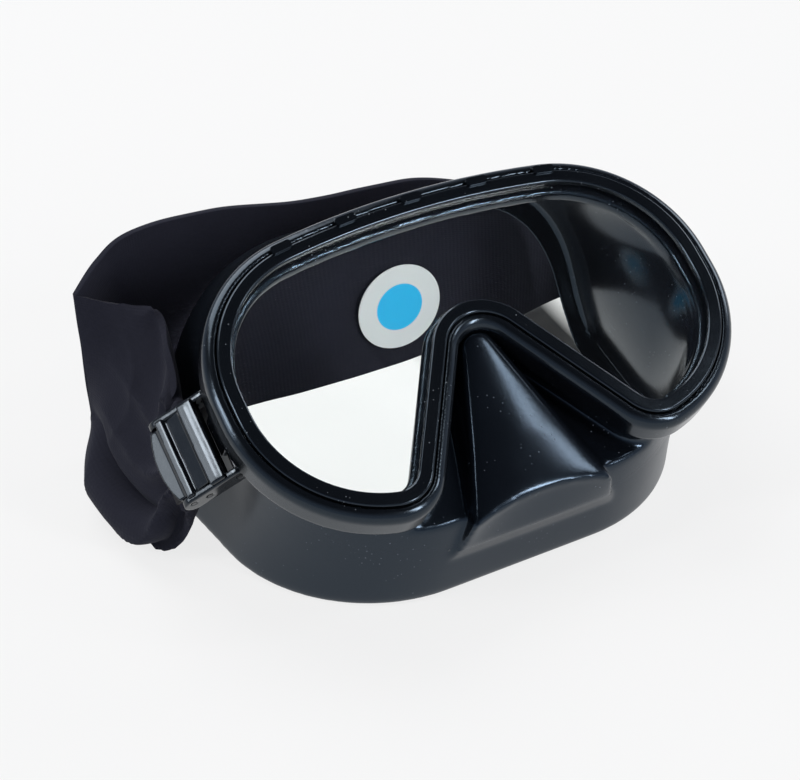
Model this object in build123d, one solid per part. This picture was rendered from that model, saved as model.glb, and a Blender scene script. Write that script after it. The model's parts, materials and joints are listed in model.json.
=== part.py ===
from build123d import *
import math
import os

# A single-lens diving mask lying on its skirt, with its wide fabric strap standing behind it.
# Lens frame: +X to the viewer's right, +Y up the lens, +Z out of its front face, origin on that face.
# Everything is made in the lens frame or the table frame and set down on Z = 0 at the end. Millimetres.

# Glass opening
opening_width = 150.0
opening_top = 41.5
opening_bottom = 41.5
crown_radius = 279.0
shoulder_radius = 37.0
lobe_radius = 37.4
notch_half_angle = 31.2
notch_top = 8.3
notch_apex_radius = 17.0
lobe_corner_radius = 8.0

# Lens, ring and frame
lens_thickness = 4.0
lens_lap = 3.4
ring_width = 4.4
ring_height = 2.0
ring_edge_round = 0.8
ring_groove = 0.3
frame_width = 8.6
frame_wall = 2.2
frame_depth = 9.0
frame_lip_height = 1.4
frame_lip_thickness = 1.7
frame_edge_round = 1.1
seat_clearance = 0.15
clip_length = 7.0
clip_width = 2.6
clip_height = 0.7
clip_corner_round = 1.0
clip_row_inset = 30.0
clip_count = 5

# Skirt: a narrow neck behind the frame that flares to the face
skirt_wall = 2.2
skirt_seat_depth = 7.0
skirt_neck_depth = 32.0
skirt_back_depth = 100.0
skirt_front_half_width = opening_width / 2 + 1.0
skirt_neck_half_width = opening_width / 2 - 2.0
skirt_back_half_width = opening_width / 2 + 15.0
skirt_front_top = opening_top + 4.5
skirt_neck_top = opening_top + 22.5
skirt_back_top = opening_top + 32.5
skirt_front_bottom = opening_bottom + 5.0
skirt_neck_bottom = opening_bottom + 15.5
skirt_back_bottom = opening_bottom + 36.5
skirt_top_radius = 44.0
skirt_bottom_radius = 48.0
skirt_slump = 3.0
seal_width = 11.0
seal_thickness = 1.6
seal_temple_height = 16.0
seal_forehead_height = 62.0
seal_forehead_depth = 27.0
seal_forehead_slope = 0.5
seal_temple_round = 18.0

# Nose pocket
nose_top_height = 0.0
nose_bottom_height = -56.0
nose_top_front_half_width = 4.0
nose_top_back_half_width = 7.0
nose_bottom_front_half_width = 24.0
nose_bottom_back_half_width = 31.0
nose_top_depth = 1.5
nose_bottom_depth = 13.0
nose_top_root_depth = 14.0
nose_bottom_root_depth = 40.0
nose_ridge_round = 3.0
nose_wall = 2.0
nose_valley_depth = 15.0
nose_valley_half_width = 45.0

# Rest position on the table
lean_angle = 26.24
lens_height_above_table = 66.0

# Buckles, one each side: they turn on a line up the lens, from straight out (0) to straight back (90)
buckle_height_on_lens = -1.5
pivot_inset = 3.0
pivot_distance = opening_width / 2 + frame_width - pivot_inset
pivot_depth = 14.0
left_swing = 39.0
right_swing = 76.0
pin_radius = 1.0
pin_clearance = 0.05
knuckle_radius = 2.6
knuckle_length = 12.0
knuckle_web = 2.4
frame_web_shift = 1.2
buckle_length = 28.0
cheek_thickness = 2.2
cheek_height = 7.4
bar_distance = 5.0
bar_radius = 2.3
bar_lift = 0.8
roller_distance = 10.9
roller_radius = 1.7
axle_radius = 0.8
roller_end_gap = 0.4
lever_distance = 15.8
lever_lift = 1.4
lever_barrel_radius = 1.6
lever_pin_radius = 0.8
lever_thickness = 1.8
lever_reach = 3.4
lever_bow = 2.4
lever_end_gap = 0.4

# Webbing and fabric strap
webbing_width = 20.0
webbing_thickness = 1.0
webbing_gap = 0.3
webbing_end_radius = 22.5
strap_joint_gap = 0.4
strap_thickness = 2.4
strap_peak_height = 77.0
strap_left_fold_height = 64.0
strap_right_fold_height = 34.0
strap_peak_start = -76.0
strap_peak_end = -46.0
strap_fold_half_width = pivot_distance + 18.4
strap_fold_distance = 74.0
strap_fold_round = 6.0
strap_far_half_width = pivot_distance + 6.4
strap_far_distance = 78.0
strap_bow_offset = 8.0
strap_bow_half_length = 24.0
strap_bow_distance = 71.0
strap_bow_radius = 150.0
strap_near_half_width = pivot_distance + 11.4
strap_near_distance = 42.0
strap_end_left_height = 60.0
strap_end_right_height = 32.0
badge_radius = 15.3
badge_thickness = 0.6
badge_offset = 11.0
badge_height = 24.0


def glass_outline(grow=0.0):
    """The lens opening, grown outwards: crowned top, round lobes and an inverted V over the nose."""
    middle = (opening_top - opening_bottom) / 2
    shape = Pos(0, middle) * Rectangle(opening_width, opening_top + opening_bottom)
    shape = shape & Pos(0, opening_top - crown_radius) * Circle(crown_radius)
    shape = fillet(shape.vertices().filter_by(lambda v: v.Y > 0), shoulder_radius)
    shape = fillet(shape.vertices().group_by(Axis.Y)[0], lobe_radius)
    leg = math.radians(notch_half_angle)
    peak = notch_top + notch_apex_radius * (1 / math.sin(leg) - 1)
    foot = opening_bottom + notch_apex_radius
    half_foot = (peak + foot) * math.tan(leg)
    notch = Polygon((0, peak), (-half_foot, -foot), (half_foot, -foot), align=None)
    notch = fillet(notch.vertices().sort_by(Axis.Y)[-1], notch_apex_radius)
    shape = shape - notch
    low = shape.vertices().filter_by(lambda v: v.Y < -opening_bottom / 2)
    shape = fillet(low.sort_by(lambda v: abs(v.X))[:2], lobe_corner_radius)
    if grow:
        shape = offset(shape, grow, kind=Kind.INTERSECTION)
    return shape


def slab(outline, low, high):
    """An outline drawn in the lens plane, as a solid from depth low to high."""
    return extrude(Pos(0, 0, low) * outline, high - low)


def make_lens():
    return slab(glass_outline(lens_lap), -lens_thickness, 0)


def make_retaining_ring():
    ring = slab(glass_outline(ring_width) - glass_outline(), seat_clearance, ring_height)
    return fillet(ring.faces().sort_by(Axis.Z)[-1].edges(), ring_edge_round)


def make_main_frame():
    outer = glass_outline(frame_width)
    lip = slab(outer - glass_outline(ring_width + ring_groove), frame_lip_height - frame_lip_thickness,
               frame_lip_height)
    lip = fillet(lip.faces().sort_by(Axis.Z)[-1].outer_wire().edges(), frame_edge_round)
    wall_outline = outer - glass_outline(frame_width - frame_wall)
    wall = slab(wall_outline, -frame_depth, frame_lip_height - frame_lip_thickness)
    frame = lip + wall
    for side in (-1, 1):
        frame = frame + make_knuckle(side)
    return frame


def along_lens(radius, length):
    """A rod that runs up the lens, centred on the origin."""
    return Rot(90, 0, 0) * Cylinder(radius, length)


def make_knuckle(side):
    """A hinge knuckle behind the frame's side, on a short web."""
    web_height = pivot_depth - frame_depth + frame_wall
    web = Pos(0, 0, web_height / 2) * Box(knuckle_web, knuckle_length, web_height)
    knuckle = along_lens(knuckle_radius, knuckle_length) + Pos(frame_web_shift, 0, 0) * web
    knuckle = knuckle - along_lens(pin_radius + pin_clearance, 2 * knuckle_length)
    knuckle = at_pivot(knuckle, side, 0)
    return knuckle - slab(glass_outline(frame_width - frame_wall), -frame_depth, 0)


def at_pivot(shape, side, swing):
    """Puts a piece made about a right-hand pivot (+X outwards) on its side of the mask, swung back."""
    placed = Pos(pivot_distance, buckle_height_on_lens, -pivot_depth) * Rot(0, swing, 0) * shape
    return placed if side > 0 else mirror(placed, Plane.YZ)


def clip_place(index):
    """Clips sit along the crown of the frame, evenly spaced and square to the groove."""
    x = (opening_width / 2 - clip_row_inset) * (2 * index / (clip_count - 1) - 1)
    groove_radius = crown_radius + ring_width + ring_groove / 2
    angle = math.asin(x / groove_radius)
    y = opening_top - crown_radius + groove_radius * math.cos(angle)
    return Pos(x, y, ring_height) * Rot(0, 0, -math.degrees(angle))


def make_ring_clips():
    clip = Box(clip_length, clip_width, clip_height, align=(Align.CENTER, Align.CENTER, Align.MIN))
    clip = fillet(clip.edges().filter_by(Axis.Z), clip_corner_round)
    clips = [clip_place(index) * Pos(0, 0, seat_clearance) * clip for index in range(clip_count)]
    return Compound(children=clips)


def skirt_section(half_width, top, bottom, depth, slump, shrink):
    """One slice of the skirt: an oblong with larger rounds below, square to the lens axis."""
    oblong = Pos(0, (top - bottom) / 2) * Rectangle(2 * half_width, top + bottom)
    upper = oblong.vertices().filter_by(lambda v: v.Y > 0)
    oblong = fillet(upper, skirt_top_radius)
    oblong = fillet(oblong.vertices().group_by(Axis.Y)[0], skirt_bottom_radius)
    if shrink:
        oblong = offset(oblong, -shrink, kind=Kind.ARC)
    return Pos(-slump, 0, -depth) * oblong


def skirt_tube(shrink=0.0, front=skirt_seat_depth):
    """The skirt's body between the frame and the face, as a solid plug."""
    sections = [
        skirt_section(skirt_front_half_width, skirt_front_top, skirt_front_bottom, front, 0, shrink),
        skirt_section(skirt_neck_half_width, skirt_neck_top, skirt_neck_bottom, skirt_neck_depth,
                      skirt_slump / 2, shrink),
        skirt_section(skirt_back_half_width, skirt_back_top, skirt_back_bottom, skirt_back_depth,
                      skirt_slump, shrink),
    ]
    return loft(sections)


def face_side(step=0.0):
    """All that lies in front of the face line: along the table to the temples, then up to the brow."""
    lean = math.radians(lean_angle)
    far = skirt_back_half_width + skirt_back_depth / 2

    def table_depth(height):
        return -(lens_height_above_table + height * math.sin(lean)) / math.cos(lean)

    points = [
        (-far, far),
        (-far, table_depth(-far)),
        (seal_temple_height, table_depth(seal_temple_height)),
        (seal_forehead_height, -seal_forehead_depth),
        (far, -seal_forehead_depth + (far - seal_forehead_height) * seal_forehead_slope),
        (far, far),
    ]
    profile = Polygon(*points, align=None)
    temple = profile.vertices().sort_by(Axis.Y)[:2].sort_by(Axis.X)[-1]
    profile = fillet(temple, seal_temple_round)
    plane = Plane(origin=(-far, 0, step), x_dir=(0, 1, 0), z_dir=(1, 0, 0))
    return extrude(plane * profile, 2 * far)


def nose_section(height, front_half, back_half, front_depth, root_depth, shrink):
    """A slice of the nose pocket, square to the lens's height: narrow at the front, wide at the root."""
    front = -front_depth - shrink
    front_half = front_half - shrink
    back_half = back_half - shrink
    plane = Plane(origin=(0, height, 0), x_dir=(1, 0, 0), z_dir=(0, -1, 0))
    points = [(-back_half, -root_depth), (back_half, -root_depth), (front_half, front), (-front_half, front)]
    outline = Polygon(*points, align=None)
    ridges = outline.vertices().sort_by(Axis.Y)[-2:]
    return plane * fillet(ridges, min(nose_ridge_round, front_half * 0.8))


def nose_pocket(shrink=0.0):
    top = nose_section(nose_top_height - shrink, nose_top_front_half_width, nose_top_back_half_width,
                       nose_top_depth, nose_top_root_depth, shrink)
    bottom = nose_section(nose_bottom_height + shrink, nose_bottom_front_half_width,
                          nose_bottom_back_half_width, nose_bottom_depth, nose_bottom_root_depth, shrink)
    return loft([top, bottom])


def nose_valley(grow=0.0):
    """The space between the frame's two legs, sunk so that the nose pocket stands clear in it."""
    fit = frame_width - frame_wall - seat_clearance
    drop = skirt_neck_bottom
    gap = Pos(0, -drop / 2) * Rectangle(2 * nose_valley_half_width, drop + 2 * fit)
    gap = gap - glass_outline(fit)
    if grow:
        gap = offset(gap, grow, kind=Kind.ARC)
    return slab(gap, -nose_valley_depth - grow, frame_lip_height)


def make_skirt():
    reach = face_side()
    shell = (skirt_tube() - nose_valley() + nose_pocket()) & reach
    collar_top = frame_lip_height - frame_lip_thickness - seat_clearance
    collar = slab(glass_outline(frame_width - frame_wall - seat_clearance), -frame_depth, collar_top)
    shell = shell + collar
    hollow = skirt_tube(skirt_wall, skirt_seat_depth + skirt_wall) - nose_valley(skirt_wall)
    shell = shell - (hollow + nose_pocket(nose_wall))
    shell = shell - slab(glass_outline(-seal_thickness), -skirt_seat_depth - skirt_wall, frame_lip_height)
    lens_room = glass_outline(lens_lap + seat_clearance)
    shell = shell - slab(lens_room, -lens_thickness - seat_clearance, frame_lip_height)
    frame_room = glass_outline(frame_width + seat_clearance)
    frame_room = frame_room - glass_outline(frame_width - frame_wall - seat_clearance)
    shell = shell - slab(frame_room, -frame_depth - seat_clearance, frame_lip_height)
    seal = skirt_tube(skirt_wall / 2) & (reach - face_side(seal_thickness))
    seal = seal - skirt_tube(seal_width)
    return shell + seal


def buckle_rod(distance, lift, radius, length):
    """A rod along the buckle's width, outwards from the pivot and lifted to the front."""
    return Pos(distance, 0, lift) * along_lens(radius, length)


def make_buckle_body():
    """Two cheeks joined by a rounded front bar, bored for the swivel pin, roller axle and lever pin."""
    cheek = Pos(lever_distance / 2, 0, 0) * SlotCenterToCenter(lever_distance, cheek_height)
    body = buckle_rod(bar_distance, bar_lift, bar_radius, buckle_length - cheek_thickness)
    for end in (-1, 1):
        place = Pos(0, end * (buckle_length - cheek_thickness) / 2, 0) * Rot(90, 0, 0)
        body = body + place * extrude(cheek, cheek_thickness / 2, both=True)
    body = body - buckle_rod(0, 0, pin_radius + pin_clearance, 2 * buckle_length)
    body = body - buckle_rod(roller_distance, 0, axle_radius + pin_clearance, 2 * buckle_length)
    return body - buckle_rod(lever_distance, lever_lift, lever_pin_radius + pin_clearance, 2 * buckle_length)


def make_strap_roller():
    length = buckle_length - 2 * cheek_thickness - 2 * roller_end_gap
    roller = buckle_rod(roller_distance, 0, roller_radius, length)
    return roller - buckle_rod(roller_distance, 0, axle_radius + pin_clearance, buckle_length)


def make_release_lever():
    """A thumb paddle with a bowed outer edge, turning on a barrel between the cheeks."""
    half = buckle_length / 2 - cheek_thickness - lever_end_gap
    tip = lever_reach + lever_bow
    paddle = Rectangle(lever_reach, 2 * half, align=(Align.MIN, Align.CENTER))
    bow = make_face(Line((lever_reach, half), (lever_reach, -half))
                    + ThreePointArc((lever_reach, -half), (tip, 0), (lever_reach, half)))
    paddle = Pos(lever_distance, 0, lever_lift) * extrude(paddle + bow, lever_thickness / 2, both=True)
    lever = paddle + buckle_rod(lever_distance, lever_lift, lever_barrel_radius, 2 * half)
    return lever - buckle_rod(lever_distance, lever_lift, lever_pin_radius + pin_clearance, buckle_length)


def make_webbing():
    """Elastic webbing sewn in a loop round the roller, its tail ended on an arc about the pivot."""
    inner = roller_radius + webbing_gap
    outer = inner + webbing_thickness
    tail_length = webbing_end_radius
    tail = Box(tail_length, webbing_width, webbing_thickness, align=(Align.MIN, Align.CENTER, Align.MIN))
    webbing = buckle_rod(roller_distance, 0, outer, webbing_width) + Pos(roller_distance, 0, -outer) * tail
    webbing = webbing - buckle_rod(roller_distance, 0, inner, 2 * webbing_width)
    return webbing & along_lens(webbing_end_radius, 2 * webbing_width)


def lay_down(shape):
    """Turns a piece from the lens frame to the table frame about the lens centre."""
    return Rot(lean_angle, 0, 0) * shape


def strap_path():
    """The standing strap from above: round the back between the gathered ends, bowed in at the middle."""
    points = [
        (-strap_near_half_width, strap_near_distance),
        (-strap_fold_half_width, strap_fold_distance),
        (-strap_far_half_width, strap_far_distance),
        (strap_bow_offset - strap_bow_half_length, strap_bow_distance),
        (strap_bow_offset + strap_bow_half_length, strap_bow_distance),
        (strap_far_half_width, strap_far_distance),
        (strap_fold_half_width, strap_fold_distance),
        (strap_near_half_width, strap_near_distance),
    ]
    fold = [strap_fold_round] * 2
    bow = [strap_bow_radius] * 2
    return FilletPolyline(*points, radius=fold + bow + fold)


def make_strap_band():
    """The standing band: tallest left of the middle, drooping to both folds."""
    outline = trace(strap_path(), line_width=strap_thickness)
    band = extrude(outline, strap_peak_height)
    reach = strap_fold_half_width + strap_thickness
    silhouette = Polygon((-reach, 0), (-reach, strap_left_fold_height), (strap_peak_start, strap_peak_height),
                         (strap_peak_end, strap_peak_height), (reach, strap_right_fold_height), (reach, 0),
                         align=None)
    band = band & (Plane.XZ * extrude(silhouette, 2 * strap_far_distance, both=True))
    return Pos(0, 0, -lens_height_above_table) * band


def make_strap_end(side, swing, height):
    """The gathered end: it fans from the webbing's width to the height of the band."""
    start = Plane(origin=(side * strap_near_half_width, strap_near_distance - strap_joint_gap,
                          -lens_height_above_table + height / 2),
                  x_dir=(0, 0, 1), z_dir=(0, 1, 0))
    wide = start * Rectangle(height, strap_thickness)
    drop = roller_radius + webbing_gap + webbing_thickness / 2
    reach = webbing_end_radius - 2 * webbing_thickness
    narrow = Plane(origin=(reach, 0, -drop), x_dir=(0, 1, 0), z_dir=(1, 0, 0))
    narrow = lay_down(at_pivot(narrow * Rectangle(webbing_width, strap_thickness), side, swing))
    swept = along_lens(webbing_end_radius + strap_joint_gap, 4 * webbing_width)
    return loft([narrow, wide], ruled=True) - lay_down(at_pivot(swept, side, swing))


def make_round_badge():
    """A thin disc on the band's inner face, where the band bows in the most."""
    front = strap_bow_distance - strap_thickness / 2
    place = Pos(badge_offset, front, -lens_height_above_table + badge_height)
    disc = Cylinder(badge_radius, badge_thickness, align=(Align.CENTER, Align.CENTER, Align.MIN))
    return place * Rot(90, 0, 0) * disc


def make_mask():
    """Every node by name, in the table frame with the lens centre as origin."""
    nodes = {
        "skirt": lay_down(make_skirt()),
        "lens": lay_down(make_lens()),
        "main_frame": lay_down(make_main_frame()),
        "retaining_ring": lay_down(make_retaining_ring()),
        "ring_clips": lay_down(make_ring_clips()),
        "strap_band": make_strap_band(),
        "round_badge": make_round_badge(),
    }
    for name, side, swing, height in (("left", -1, left_swing, strap_end_left_height),
                                      ("right", 1, right_swing, strap_end_right_height)):
        buckle = {
            "buckle_body": make_buckle_body(),
            "swivel_pin": along_lens(pin_radius, buckle_length),
            "strap_roller": make_strap_roller(),
            "roller_axle": buckle_rod(roller_distance, 0, axle_radius, buckle_length),
            "release_lever": make_release_lever(),
            "lever_pin": buckle_rod(lever_distance, lever_lift, lever_pin_radius, buckle_length),
            "webbing": make_webbing(),
        }
        for piece, shape in buckle.items():
            nodes[piece + "_" + name] = lay_down(at_pivot(shape, side, swing))
        nodes["strap_end_" + name] = make_strap_end(side, swing, height)
    return nodes


mask = make_mask()
whole = Compound([solid for shape in mask.values() for solid in shape.solids()]).bounding_box()
set_down = Pos(-(whole.min.X + whole.max.X) / 2, -(whole.min.Y + whole.max.Y) / 2, -whole.min.Z)
os.makedirs("parts", exist_ok=True)
for name, shape in mask.items():
    export_step(Compound((set_down * shape).solids()), "parts/" + name + ".step")
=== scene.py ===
import json
import math

import bmesh
import bpy
from mathutils import Matrix, Vector, noise
from mathutils.bvhtree import BVHTree

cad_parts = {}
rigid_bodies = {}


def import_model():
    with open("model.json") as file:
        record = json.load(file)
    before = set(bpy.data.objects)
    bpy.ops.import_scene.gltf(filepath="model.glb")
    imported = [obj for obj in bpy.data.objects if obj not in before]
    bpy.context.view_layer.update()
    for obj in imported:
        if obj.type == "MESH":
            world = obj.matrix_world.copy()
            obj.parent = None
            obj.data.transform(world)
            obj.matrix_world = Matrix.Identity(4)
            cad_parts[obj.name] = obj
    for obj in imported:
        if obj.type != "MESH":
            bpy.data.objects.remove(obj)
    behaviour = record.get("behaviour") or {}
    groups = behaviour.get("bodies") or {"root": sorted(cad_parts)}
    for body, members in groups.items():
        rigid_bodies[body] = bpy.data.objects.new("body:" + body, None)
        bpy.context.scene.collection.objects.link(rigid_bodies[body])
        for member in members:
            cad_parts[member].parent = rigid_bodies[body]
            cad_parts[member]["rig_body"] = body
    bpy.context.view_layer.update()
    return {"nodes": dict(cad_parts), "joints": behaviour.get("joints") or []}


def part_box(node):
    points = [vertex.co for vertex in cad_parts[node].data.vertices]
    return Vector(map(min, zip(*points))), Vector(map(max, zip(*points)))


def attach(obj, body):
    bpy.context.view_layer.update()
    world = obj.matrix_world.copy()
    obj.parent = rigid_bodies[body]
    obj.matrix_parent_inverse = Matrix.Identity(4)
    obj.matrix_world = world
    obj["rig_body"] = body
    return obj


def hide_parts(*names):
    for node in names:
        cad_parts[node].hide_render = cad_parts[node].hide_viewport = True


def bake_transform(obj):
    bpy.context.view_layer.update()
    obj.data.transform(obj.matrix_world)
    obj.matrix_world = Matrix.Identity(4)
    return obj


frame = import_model()

# ---- Skirt ----------------------------------------------------------------------------------
# The soft seal and nose pocket, one injection moulding in black silicone. It grips the lens in a
# groove, swells to a bead behind the frame, draws in to a neck and flares to the turned-in seal.
class Wire:
    """A value running through a material: arithmetic on it adds Math nodes."""

    def __init__(self, finish, socket):
        self.finish = finish
        self.socket = socket

    def maths(self, operation, *values, clamp=False):
        settings = {"operation": operation, "use_clamp": clamp}
        return self.finish.add("ShaderNodeMath", settings, [self, *values])

    def __add__(self, other):
        return self.maths("ADD", other)

    def __sub__(self, other):
        return self.maths("SUBTRACT", other)

    def __rsub__(self, other):
        return self.finish.add("ShaderNodeMath", {"operation": "SUBTRACT"}, [other, self])

    def __mul__(self, other):
        return self.maths("MULTIPLY", other)

    def __truediv__(self, other):
        return self.maths("DIVIDE", other)

    def over(self, edge, softness):
        """0 below the edge, 1 above it, with a soft step between."""
        return ((self - edge) / softness + 0.5).maths("ADD", 0.0, clamp=True)


class Nodes:
    """The nodes of a material or of the world."""

    def __init__(self, tree):
        self.tree = tree

    def add(self, kind, settings=None, inputs=None, output=0):
        """One node: its type, its settings, then values or wires for its sockets by place or name."""
        node = self.tree.nodes.new(kind)
        for label, value in (settings or {}).items():
            if label == "stops":
                for index, (place, colour) in enumerate(value):
                    stops = node.color_ramp.elements
                    stop = stops[index] if index < len(stops) else stops.new(place)
                    stop.position = place
                    stop.color = colour
            else:
                setattr(node, label, value)
        named = inputs.items() if isinstance(inputs, dict) else enumerate(inputs or [])
        for label, value in named:
            if isinstance(value, Wire):
                self.tree.links.new(value.socket, node.inputs[label])
            else:
                node.inputs[label].default_value = value
        return Wire(self, node.outputs[output])

    def surface(self, wire):
        """Ends the tree in this shader."""
        ends = [node for node in self.tree.nodes if node.type in ("OUTPUT_MATERIAL", "OUTPUT_WORLD")]
        self.tree.links.new(wire.socket, ends[0].inputs["Surface"])


class Finish(Nodes):
    """A material and the nodes that it is built from."""

    def __init__(self, name, **sockets):
        self.material = bpy.data.materials.new(name)
        self.material.use_nodes = True
        super().__init__(self.material.node_tree)
        self.shader = self.tree.nodes["Principled BSDF"]
        for label, value in sockets.items():
            self.shader.inputs[label.replace("_", " ")].default_value = value

    def feed(self, label, wire):
        self.tree.links.new(wire.socket, self.shader.inputs[label])

    def place(self, scale=(1, 1, 1), shift=(0, 0, 0), source="Object"):
        """Coordinates on the piece itself, moved and scaled."""
        spot = self.add("ShaderNodeTexCoord", output=source)
        return self.add("ShaderNodeMapping", {"vector_type": "POINT"},
                        {"Vector": spot, "Location": shift, "Scale": scale})

    def grain(self, spot, scale, detail=2.0):
        return self.add("ShaderNodeTexNoise", {"noise_dimensions": "3D"},
                        {"Vector": spot, "Scale": scale, "Detail": detail})

    def bands(self, spot, direction, scale, distortion=0.0):
        return self.add("ShaderNodeTexWave", {"wave_type": "BANDS", "bands_direction": direction},
                        {"Vector": spot, "Scale": scale, "Distortion": distortion})

    def dot(self, one, other):
        settings = {"operation": "DOT_PRODUCT"}
        return self.add("ShaderNodeVectorMath", settings, [one, other], output="Value")

    def specks(self, spot, scale, size):
        """Fine dust: 1 on small scattered dots, 0 elsewhere."""
        near = self.add("ShaderNodeTexVoronoi", {"feature": "F1"}, {"Vector": spot, "Scale": scale})
        patch = self.grain(spot, scale * 0.13, 3.0)
        return (1 - near.over(size, size * 0.6)) * patch.over(0.56, 0.08)

    def blend(self, share, low, high):
        """Two colours mixed by a wire."""
        return self.add("ShaderNodeMix", {"data_type": "RGBA"}, {0: share, 6: low, 7: high}, output=2)

    def bump(self, height, depth):
        return self.add("ShaderNodeBump", {}, {"Height": height, "Distance": depth, "Strength": 1.0})


def new_piece(name, shape, material, smooth=True):
    """A finished bmesh as an object at the origin, with its material."""
    mesh = bpy.data.meshes.new(name)
    shape.to_mesh(mesh)
    shape.free()
    if smooth:
        mesh.shade_smooth()
    mesh.materials.append(material)
    piece = bpy.data.objects.new(name, mesh)
    bpy.context.scene.collection.objects.link(piece)
    return piece


def dress(piece, finish):
    piece.data.materials.clear()
    piece.data.materials.append(finish.material)


def finish_node(node, finish):
    """A CAD node keeps its shape and takes its finish."""
    piece = frame["nodes"][node]
    dress(piece, finish)


def apply_modifiers(piece):
    graph = bpy.context.evaluated_depsgraph_get()
    mesh = bpy.data.meshes.new_from_object(piece.evaluated_get(graph))
    piece.modifiers.clear()
    piece.data = mesh


# The lens plane. The two buckles swivel on lines that run up the lens, a little behind its face and
# below its middle, so they give the lens its place, its upright and its outward direction.
pivot_behind_face = 0.014
pivot_below_middle = 0.0015
joints = {joint["name"]: joint for joint in frame["joints"]}
left_pivot = Vector(joints["buckle_swivel_left"]["pos_m"])
right_pivot = Vector(joints["buckle_swivel_right"]["pos_m"])
lens_right = Vector((1, 0, 0))
lens_up = Vector(joints["buckle_swivel_right"]["axis"]).normalized()
lens_out = lens_right.cross(lens_up)
pivot_middle = (left_pivot + right_pivot) / 2
lens_centre = pivot_middle + pivot_below_middle * lens_up + pivot_behind_face * lens_out
lens_place = Matrix.Translation(lens_centre) @ Matrix((lens_right, lens_up, lens_out)).transposed().to_4x4()
to_lens = lens_place.inverted()

silicone = Finish("moulded_silicone", Roughness=0.3, IOR=1.52, Specular_Tint=(0.55, 0.75, 1.0, 1))
spot = silicone.place()
smear = silicone.grain(spot, 38.0, 3.0)
fine = silicone.grain(spot, 900.0, 2.0)
dust = silicone.specks(spot, 520.0, 0.10)
silicone.feed("Base Color", silicone.blend(dust, (0.0030, 0.0038, 0.0055, 1), (0.10, 0.11, 0.13, 1)))
outwards = silicone.dot(spot, tuple(lens_out))
facing = silicone.add("ShaderNodeNewGeometry", output="Normal")
away = silicone.add("ShaderNodeVectorMath", {"operation": "SUBTRACT"}, [spot, tuple(lens_centre)])
inner = silicone.dot(facing, away)
polished_depth = 0.021
near_lens = outwards.over(lens_out.dot(lens_centre) - polished_depth, 0.008)
polished = near_lens.maths("MAXIMUM", 1 - inner.over(0.0, 0.01))
silicone.feed("Roughness", smear * 0.14 + fine * 0.03 + 0.22 - polished * 0.14 + dust * 0.3)
silicone.feed("Normal", silicone.bump(fine, 0.000012))


def voxel_skin(piece, voxel):
    """Even mesh over a piece, so that it can be worked like clay."""
    remesh = piece.modifiers.new("even", "REMESH")
    remesh.mode = "VOXEL"
    remesh.voxel_size = voxel
    apply_modifiers(piece)


def soften(piece, passes, behind=0.0):
    """Rounds edges a little more with each pass, if asked only behind a depth from the lens."""
    shape = bmesh.new()
    shape.from_mesh(piece.data)
    chosen = [vert for vert in shape.verts if not behind or (to_lens @ vert.co).z < -behind]
    for _ in range(passes):
        bmesh.ops.smooth_vert(shape, verts=chosen, factor=0.5, use_axis_x=True, use_axis_y=True,
                              use_axis_z=True)
    shape.to_mesh(piece.data)
    shape.free()


def moulded(name, node, finish, voxel, passes, faces, sculpt=None, rim_passes=0):
    """A piece worked from its CAD node: evened, sculpted, softened at its edges and thinned."""
    rim_depth = 0.034
    shape = bmesh.new()
    shape.from_mesh(frame["nodes"][node].data)
    bmesh.ops.remove_doubles(shape, verts=shape.verts, dist=0.000002)
    piece = new_piece(name, shape, finish.material)
    voxel_skin(piece, voxel)
    if sculpt:
        for vert in piece.data.vertices:
            vert.co = lens_place @ sculpt(to_lens @ vert.co)
        voxel_skin(piece, voxel)
    soften(piece, passes)
    soften(piece, rim_passes, behind=rim_depth)
    thin = piece.modifiers.new("thin", "DECIMATE")
    thin.ratio = min(1.0, faces / len(piece.data.polygons))
    apply_modifiers(piece)
    soften(piece, 2)
    dress(piece, finish)
    piece.data.shade_smooth()
    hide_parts(node)
    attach(piece, frame["nodes"][node]["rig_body"])


def nose_shape(spot):
    """Rounds the nose pocket's flat front into a cone and arches its lower edge."""
    nose_height = 0.056
    bridge_half = 0.005
    spread = 0.023
    bridge_depth = 0.0015
    sink = 0.0115
    wall_room = 0.010
    arch = 0.0045
    swell = 0.0042
    down = min(max(-spot.y / nose_height, 0.0), 1.05)
    depth = -bridge_depth - sink * down
    across = abs(spot.x) / (bridge_half + spread * down)
    if across > 1 or not -0.060 < spot.y < 0.001 or not depth - wall_room < spot.z < depth + 0.002:
        return spot
    crown = (1 - across ** 2) * min(1.0, (spot.z - depth + wall_room) / 0.008)
    foot = min(max((down - 0.62) / 0.30, 0.0), 1.0)
    return Vector((spot.x, spot.y + arch * crown * foot, spot.z + swell * crown * min(down, 0.92)))


moulded("silicone_skirt", "skirt", silicone, voxel=0.00055, passes=18, faces=92000,
        sculpt=nose_shape, rim_passes=45)

# ---- Lens -----------------------------------------------------------------------------------
# One sheet of clear tempered glass, 4 mm thick with ground edges. It drops into the skirt's groove
# and is held down by the ring.
glass = Finish("clear_glass", Base_Color=(0.97, 1.0, 0.99, 1), Roughness=0.0, IOR=1.45,
               Transmission_Weight=1.0)
spot = glass.place()
glass.feed("Roughness", glass.grain(spot, 60.0, 3.0).over(0.6, 0.3) * 0.012)
shadow = glass.add("ShaderNodeLightPath", output="Is Shadow Ray")
open_way = glass.add("ShaderNodeBsdfTransparent")
solid_way = Wire(glass, glass.shader.outputs[0])
glass.surface(glass.add("ShaderNodeMixShader", {}, [shadow, solid_way, open_way]))
finish_node("lens", glass)

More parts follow.
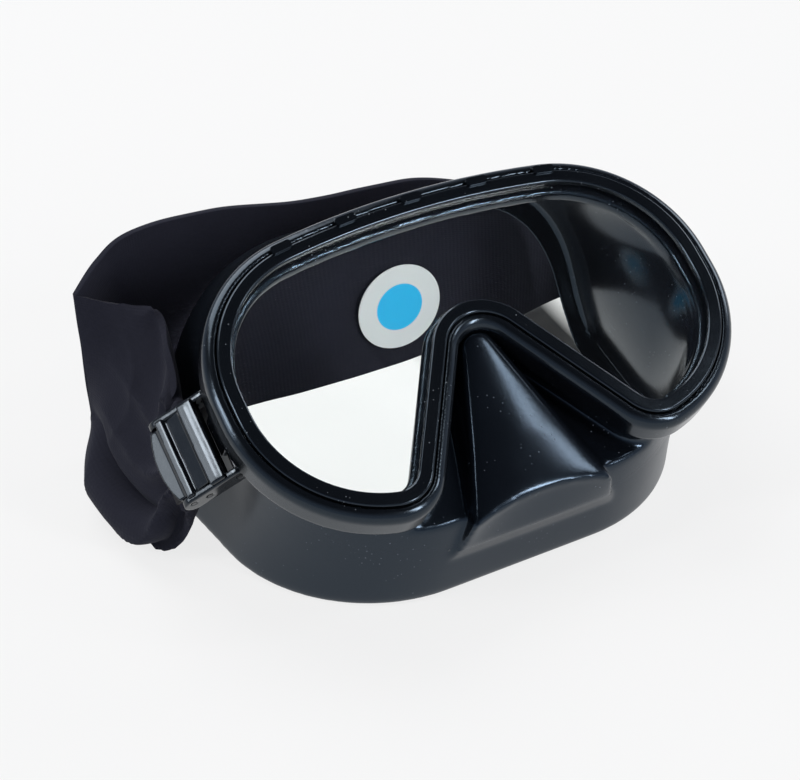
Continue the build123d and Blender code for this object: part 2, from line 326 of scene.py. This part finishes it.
# ---- Frame, ring and clips ------------------------------------------------------------------
# Hard black moulded plastic with a polished face. The frame goes over the skirt from the front,
# the ring clamps the lens, and small snap clips along the crown lock the ring to the frame.
frame_gloss = Finish("polished_black_plastic", Roughness=0.12, IOR=1.52, Specular_Tint=(0.62, 0.8, 1.0, 1))
spot = frame_gloss.place()
scuff = frame_gloss.grain(spot, 55.0, 4.0)
ripple = frame_gloss.grain(spot, 210.0, 2.0)
dust = frame_gloss.specks(spot, 480.0, 0.10)
frame_gloss.feed("Base Color", frame_gloss.blend(dust, (0.0028, 0.0034, 0.0046, 1), (0.10, 0.11, 0.12, 1)))
frame_gloss.feed("Roughness", scuff * 0.16 + dust * 0.3 + 0.09)
frame_gloss.feed("Normal", frame_gloss.bump(ripple, 0.00003))
lens_shape = bmesh.new()
lens_shape.from_mesh(frame["nodes"]["lens"].data)
lens_edge = BVHTree.FromBMesh(lens_shape)
lens_shape.free()


def round_shoulder(spot):
    """Takes the frame's outer front corner down to a full round, all the way round the lens."""
    frame_reach = 0.0052
    frame_front = 0.0014
    shoulder = 0.0034
    level = lens_place @ Vector((spot.x, spot.y, -0.002))
    inward = frame_reach - lens_edge.find_nearest(level)[3]
    if spot.z < -0.004 or inward > shoulder:
        return spot
    drop = shoulder - math.sqrt(max(shoulder ** 2 - (shoulder - max(inward, 0.0)) ** 2, 0.0))
    return Vector((spot.x, spot.y, min(spot.z, frame_front - drop)))


moulded("outer_frame", "main_frame", frame_gloss, voxel=0.00045, passes=3, faces=90000,
        sculpt=round_shoulder)
for node in ("retaining_ring", "ring_clips"):
    finish_node(node, frame_gloss)

# ---- Buckles --------------------------------------------------------------------------------
# Glossy black moulded buckles, one each side, on black-coated steel pins. The cheeks carry a fixed
# front bar, a free roller for the webbing and a sprung thumb lever.
buckle_gloss = Finish("buckle_black_plastic", Roughness=0.16, IOR=1.5, Specular_Tint=(0.78, 0.89, 1.0, 1))
spot = buckle_gloss.place()
wear = buckle_gloss.grain(spot, 160.0, 3.0)
worn = wear.over(0.62, 0.2)
worn_black = buckle_gloss.blend(worn, (0.004, 0.0045, 0.006, 1), (0.009, 0.010, 0.012, 1))
buckle_gloss.feed("Base Color", worn_black)
buckle_gloss.feed("Roughness", wear * 0.16 + 0.04)
buckle_gloss.feed("Normal", buckle_gloss.bump(wear, 0.00004))
steel = Finish("pin_blackened", Base_Color=(0.06, 0.062, 0.068, 1), Metallic=1.0, Roughness=0.3)
spot = steel.place(scale=(1, 30, 30))
turned = steel.grain(spot, 120.0, 2.0)
steel.feed("Roughness", turned * 0.25 + 0.2)
steel.feed("Base Color", steel.blend(turned, (0.045, 0.047, 0.052, 1), (0.075, 0.077, 0.084, 1)))


def buckle_cover(side):
    """The front of the buckle: a fat rounded bar, a sunk plate over the webbing and a low ridge."""
    cover_width = 0.0268
    bar = (0.0052, cover_width, 0.0044)
    plate = (0.0098, cover_width - 0.003, 0.0010)
    ridge = (0.0026, cover_width - 0.001, 0.0030)
    pivot = Vector(joints["buckle_swivel_" + side]["pos_m"])
    outwards = (Vector(joints["roller_spin_" + side]["pos_m"]) - pivot).normalized()
    front = outwards.cross(lens_up) * (1 if side == "right" else -1)
    buckle = Matrix.Translation(pivot) @ Matrix((outwards, lens_up, front)).transposed().to_4x4()
    shape = bmesh.new()
    blocks = ((bar, 0.0050, 0.0027, 0), (plate, 0.0098, 0.0034, 13), (ridge, 0.0146, 0.0031, 0))
    for size, across, lift, tilt in blocks:
        turned = Matrix.Rotation(math.radians(tilt), 4, "Y")
        block = Matrix.Translation((across, 0, lift)) @ turned @ Matrix.Diagonal((*size, 1))
        bmesh.ops.create_cube(shape, size=1.0, matrix=buckle @ block)
    bmesh.ops.recalc_face_normals(shape, faces=shape.faces)
    cover = new_piece("buckle_cover_" + side, shape, buckle_gloss.material)
    voxel_skin(cover, 0.00024)
    soften(cover, 16)
    dress(cover, buckle_gloss)
    cover.data.shade_smooth()
    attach(cover, frame["nodes"]["buckle_body_" + side]["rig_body"])


for side in ("left", "right"):
    moulded("rounded_buckle_body_" + side, "buckle_body_" + side, buckle_gloss,
            voxel=0.00026, passes=7, faces=30000)
    moulded("thumb_lever_" + side, "release_lever_" + side, buckle_gloss,
            voxel=0.00026, passes=5, faces=16000)
    finish_node("strap_roller_" + side, buckle_gloss)
    buckle_cover(side)
    for node in ("swivel_pin", "roller_axle", "lever_pin"):
        finish_node(node + "_" + side, steel)

# ---- Webbing --------------------------------------------------------------------------------
# Flat black elastic, woven in ribs, looped round the roller and sewn to the fabric strap.
elastic = Finish("elastic_webbing", Base_Color=(0.014, 0.013, 0.016, 1), Roughness=0.75)
spot = elastic.place()
ribs = elastic.bands(spot, "Y", 260.0)
elastic.feed("Base Color", elastic.blend(ribs, (0.006, 0.006, 0.008, 1), (0.011, 0.011, 0.014, 1)))
elastic.feed("Normal", elastic.bump(ribs, 0.00002))
for side in ("left", "right"):
    finish_node("webbing_" + side, elastic)

# ---- Fabric strap ---------------------------------------------------------------------------
# A wide band of doubled stretch knit that cushions the back of the head, near-black with a fine
# rib. Both ends are gathered into the webbing at the buckles.
knit = Finish("stretch_knit", Roughness=0.95, Specular_IOR_Level=0.1, Sheen_Weight=0.03, Sheen_Roughness=0.4)
weave = knit.place(source="UV")
course = knit.bands(weave, "Y", 330.0, distortion=0.6)
wale = knit.bands(weave, "X", 250.0, distortion=0.4)
spot = knit.place()
fuzz = knit.grain(spot, 800.0, 3.0)
mottle = knit.grain(spot, 34.0, 4.0)
tone = mottle * 0.6 + fuzz * 0.4
knit.feed("Base Color", knit.blend(tone, (0.010, 0.0105, 0.0165, 1), (0.023, 0.0235, 0.035, 1)))
knit.feed("Roughness", fuzz * 0.15 + 0.82)
knit.feed("Normal", knit.bump(course * 0.5 + wale * 0.3 + fuzz * 0.6, 0.00008))

cloth_thickness = 0.0022


def along(points, share):
    """A place on the smooth line through evenly spaced points."""
    last = len(points) - 1
    first = min(int(share * last), last - 1)
    part = share * last - first
    p0, p1, p2, p3 = (points[min(max(first + step, 0), last)] for step in (-1, 0, 1, 2))
    return 0.5 * (2 * p1 + (p2 - p0) * part + (2 * p0 - 5 * p1 + 4 * p2 - p3) * part ** 2
                  + (3 * p1 - p0 - 3 * p2 + p3) * part ** 3)


def cloth_sheet(name, stations, length, height, pleats, roll=0.0, rows=64, columns=120):
    """A sheet drawn smoothly through stations, each a line from its lower to its upper edge in
    millimetres. Pleats gives how many folds run lengthwise, their depth, and where they begin, and
    roll is how far the lower part bulges under a crease."""
    lines = [[Vector(point) / 1000 for point in station] for station in stations]
    shape = bmesh.new()
    uv = shape.loops.layers.uv.new("weave")
    bmesh.ops.create_grid(shape, x_segments=columns, y_segments=rows, size=0.5, calc_uvs=True)
    count, depth, begin = pleats
    spots = [(vert, vert.co.x + 0.5, vert.co.y + 0.5) for vert in shape.verts]
    for vert, s, t in spots:
        vert.co = along([along(line, t) for line in lines], s)
    shape.normal_update()
    for vert, s, t in spots:
        gather = max(0.0, s - begin) / max(1 - begin, 0.001)
        drift = 0.8 * noise.noise(Vector((2.5 * s, 3 * t, 1.7)))
        ridge = 1 - 2 * abs(math.sin(math.pi * (count * t + drift))) ** 0.8
        soft = noise.noise(vert.co * 28) * 0.0009 + noise.noise(vert.co * 75) * 0.00035
        crease = math.exp(-((t - 0.40 + 0.10 * s) / 0.045) ** 2)
        bulge = math.exp(-((t - 0.20) / 0.12) ** 2)
        rolled = roll * math.sin(math.pi * min(1.0, 1.3 * s)) * (bulge - 0.9 * crease)
        wrinkle = 0.0030 * gather * (1 - abs(noise.noise(vert.co * 24 + Vector((4, 7, 1))))) ** 7
        vert.co += vert.normal * (depth * gather * ridge + soft + rolled + wrinkle)
    for face in shape.faces:
        for loop in face.loops:
            loop[uv].uv = (loop[uv].uv.x * length, loop[uv].uv.y * height)
    piece = new_piece(name, shape, knit.material)
    wall = piece.modifiers.new("wall", "SOLIDIFY")
    wall.thickness = cloth_thickness
    wall.offset = 0
    hem = piece.modifiers.new("hem", "BEVEL")
    hem.width = cloth_thickness * 0.3
    hem.segments = 2
    hem.limit_method = "ANGLE"
    apply_modifiers(piece)
    piece.data.shade_smooth()
    return piece


left_fold = [(-96, 54, 1.2), (-98.2, 51, 14), (-98.6, 50, 30), (-98.6, 51, 48), (-98, 57, 64)]
right_fold = [(96, 54, 1.2), (97.8, 52, 10), (98.2, 52, 19), (98, 54, 28), (97, 57, 36)]
band = [
    left_fold,
    [(-87, 58, 1.2), (-88, 58, 18), (-88, 59.5, 36), (-88, 61, 54), (-88, 61.5, 70.5)],
    [(-70, 57, 1.2), (-71, 57.5, 20), (-73, 60, 40), (-75, 62, 60), (-75.5, 63, 76)],
    [(-42, 53.7, 1.2), (-43, 54.5, 20), (-45, 57, 39), (-47, 60, 58), (-49, 62, 76.5)],
    [(-14, 51.8, 1.2), (-14.5, 54, 19), (-15, 56.5, 37), (-16, 58.5, 55), (-18, 60, 71.5)],
    [(20, 51.5, 1.2), (20, 53.7, 18), (20, 56.2, 35), (20, 58, 52), (20, 59.5, 68)],
    [(50, 52.5, 1.2), (50, 54, 15), (50, 56, 30), (50, 57.5, 44), (50, 59, 57)],
    [(78, 57.5, 1.2), (79, 58, 11), (80, 59, 22), (80, 60, 33), (81, 60.5, 43)],
    right_fold,
]
strap = cloth_sheet("strap_band_cloth", band, 0.215, 0.078, (2, 0.0, 1), columns=160)
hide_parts("strap_band")
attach(strap, "root")

left_end = [
    left_fold,
    [(-98.5, 44, 1.2), (-101, 41, 14), (-98, 40, 31), (-93, 43, 47), (-91, 53, 61.5)],
    [(-100, 30, 1.2), (-103, 27, 12), (-98, 27, 26), (-89.5, 31, 43), (-83.5, 47.5, 60.5)],
    [(-99, 14, 2), (-102, 12, 12), (-96, 14, 26), (-88, 18, 41), (-77, 41, 60)],
    [(-94, 2, 4), (-98, 0, 16), (-95, 4, 28), (-88.5, 9, 42), (-80.5, 27, 57)],
    [(-89, -5, 18), (-94, -5, 26), (-93.5, -3, 34), (-90, 2, 42), (-84, 13, 50)],
    [(-92, -13, 34), (-93, -9, 36.5), (-93.5, -5, 38.5), (-93.5, -1, 40.5), (-92, 4, 43)],
]
strap_left = cloth_sheet("strap_end_left_cloth", left_end, 0.075, 0.070, (4, 0.0030, 0.1), roll=0.0055,
                         rows=110)
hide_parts("strap_end_left")
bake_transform(strap_left)

right_end = [
    right_fold,
    [(98, 42, 1.2), (99, 40, 10), (98.5, 40, 19), (97, 42, 28), (95, 46, 36)],
    [(96, 26, 1.5), (98, 24, 11), (97, 24, 20), (95, 25, 30), (92, 29, 38)],
    [(92, 10, 10), (95, 8, 17), (94.5, 8, 25), (93, 10, 32), (91, 14, 39)],
    [(87.5, -8, 29.5), (88, -5, 31.5), (88.5, -2, 33), (88.5, 1, 35), (88, 6, 37.5)],
]
strap_right = cloth_sheet("strap_end_right_cloth", right_end, 0.07, 0.036, (4, 0.0013, 0.3), rows=60)
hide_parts("strap_end_right")
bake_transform(strap_right)

# ---- Badge ----------------------------------------------------------------------------------
# A thin round white film pressed on the strap's inner face, with a plain blue spot.
film = Finish("badge_film", Base_Color=(0.80, 0.84, 0.86, 1), Roughness=0.55)
badge_radius = 0.0153
badge_thickness = 0.0005
badge_lean = math.radians(82.0)
badge_low, badge_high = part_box("round_badge")
badge_stand_off = 0.0004
badge_centre = (Vector(badge_low) + Vector(badge_high)) / 2
badge_centre.y = badge_low[1] - badge_stand_off
spot = film.place(shift=tuple(-badge_centre))
away = film.add("ShaderNodeVectorMath", {"operation": "LENGTH"}, [spot], output="Value")
print_edge = film.grain(spot, 160.0, 3.0)
spot_radius = 0.0085
blue_spot = film.blend(away.over(spot_radius, 0.0003), (0.02, 0.56, 1.0, 1), (0.86, 0.89, 0.90, 1))
film.feed("Base Color", blue_spot)
film.feed("Roughness", print_edge * 0.2 + 0.42)
shape = bmesh.new()
bmesh.ops.create_cone(shape, cap_ends=True, segments=128, radius1=badge_radius, radius2=badge_radius,
                      depth=badge_thickness)
rims = [edge for edge in shape.edges if abs(edge.verts[0].co.z - edge.verts[1].co.z) < 0.00001]
bmesh.ops.bevel(shape, geom=rims, offset=badge_thickness * 0.3, offset_type="OFFSET", affect="EDGES",
                segments=2, profile=0.5, material=-1)
badge_place = Matrix.Translation(badge_centre) @ Matrix.Rotation(badge_lean, 4, "X")
bmesh.ops.transform(shape, verts=shape.verts, matrix=badge_place)
badge = new_piece("badge_disc", shape, film.material, smooth=False)
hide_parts("round_badge")
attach(badge, "root")

# ---- Studio ---------------------------------------------------------------------------------
# A plain pale table that runs on as the background, soft lamps and the camera. Through the lens the
# table's glow is dimmed in a patch right of the middle: a painted shadow of the skirt.
pale = (0.913, 0.913, 0.913, 1)
table = Finish("studio_floor", Base_Color=pale, Roughness=0.9, Specular_IOR_Level=0.0)
seen = table.add("ShaderNodeLightPath", output="Is Camera Ray")
mirrored = table.add("ShaderNodeLightPath", output="Is Glossy Ray")
through_lens = table.add("ShaderNodeLightPath", output="Is Transmission Ray")
spot = table.place()
sideways = table.add("ShaderNodeSeparateXYZ", {}, [spot], output="X")
# Painted shadow: seen through the lens, the table's glow is dimmed between these two sideways places,
# standing in for the skirt's shade.
painted_shadow_start = 0.026
painted_shadow_end = 0.075
painted_skirt_shadow = through_lens * sideways.over(painted_shadow_start, 0.022) * (1 - sideways.over(painted_shadow_end, 0.01))
share = seen.maths("MAXIMUM", mirrored).maths("MAXIMUM", through_lens) * 0.86
strength = through_lens * 0.22 + 1.0 - painted_skirt_shadow * 1.2
glow = table.add("ShaderNodeEmission", {}, {"Color": pale, "Strength": strength})
lit = Wire(table, table.shader.outputs[0])
table.surface(table.add("ShaderNodeMixShader", {}, [share, lit, glow]))
shape = bmesh.new()
bmesh.ops.create_grid(shape, x_segments=1, y_segments=1, size=4.0)
floor = new_piece("studio_floor", shape, table.material)

world = bpy.data.worlds.new("studio")
bpy.context.scene.world = world
world.use_nodes = True
room = Nodes(world.node_tree)
way = room.add("ShaderNodeTexCoord", output="Generated")
upward = room.add("ShaderNodeSeparateXYZ", {}, [way], output="Z")
low, middle, high = (0.55, 0.62, 0.72, 1), (0.42, 0.47, 0.56, 1), (0.035, 0.04, 0.05, 1)
walls = room.add("ShaderNodeValToRGB", {"stops": ((0.0, low), (0.34, middle), (0.75, high))}, [upward])
around = room.add("ShaderNodeBackground", {}, {"Color": walls})
backdrop = room.add("ShaderNodeBackground", {}, {"Color": pale})
seen = room.add("ShaderNodeLightPath", output="Is Camera Ray")
room.surface(room.add("ShaderNodeMixShader", {}, [seen, around, backdrop]))


def soft_lamp(name, place, size, watts, tall=None):
    """A rectangular softbox aimed at the mask."""
    data = bpy.data.lights.new(name, "AREA")
    data.shape = "RECTANGLE"
    data.size = size
    data.size_y = tall or size
    data.energy = watts
    lamp = bpy.data.objects.new(name, data)
    bpy.context.scene.collection.objects.link(lamp)
    lamp.location = place
    lamp.rotation_euler = (lens_centre - Vector(place)).to_track_quat("-Z", "Y").to_euler()


soft_lamp("overhead_softbox", (-0.1, 0.65, 0.85), 0.8, 8.0)
soft_lamp("left_softbox", (-0.88, 0.12, 0.50), 0.18, 1.0, tall=0.4)
soft_lamp("left_strip", (-0.78, 0.05, 0.76), 0.18, 2.6, tall=0.36)
soft_lamp("right_softbox", (0.85, 0.1, 0.5), 0.4, 2.4)
soft_lamp("front_strip", (0.62, -0.35, 0.80), 0.10, 1.2, tall=0.35)
soft_lamp("front_fill", (0.48, -0.92, 0.66), 0.12, 6.0, tall=0.5)

camera_turn = math.radians(28.053)
camera_height = math.radians(38.899)
camera_distance = 0.59225
camera_right_shift = 0.02212
camera_up_shift = 0.01851
level = math.cos(camera_height)
towards = Vector((-math.sin(camera_turn) * level, -math.cos(camera_turn) * level, math.sin(camera_height)))
across = Vector((math.cos(camera_turn), -math.sin(camera_turn), 0))
upwards = towards.cross(across)
camera_data = bpy.data.cameras.new("camera")
camera_data.lens = 90
camera_data.sensor_width = 36
camera = bpy.data.objects.new("camera", camera_data)
bpy.context.scene.collection.objects.link(camera)
aim = lens_centre - camera_right_shift * across - camera_up_shift * upwards
camera.location = aim + camera_distance * towards
camera.rotation_euler = Matrix((across, upwards, towards)).transposed().to_euler()
bpy.context.scene.camera = camera
bpy.context.scene.view_settings.view_transform = "Standard"
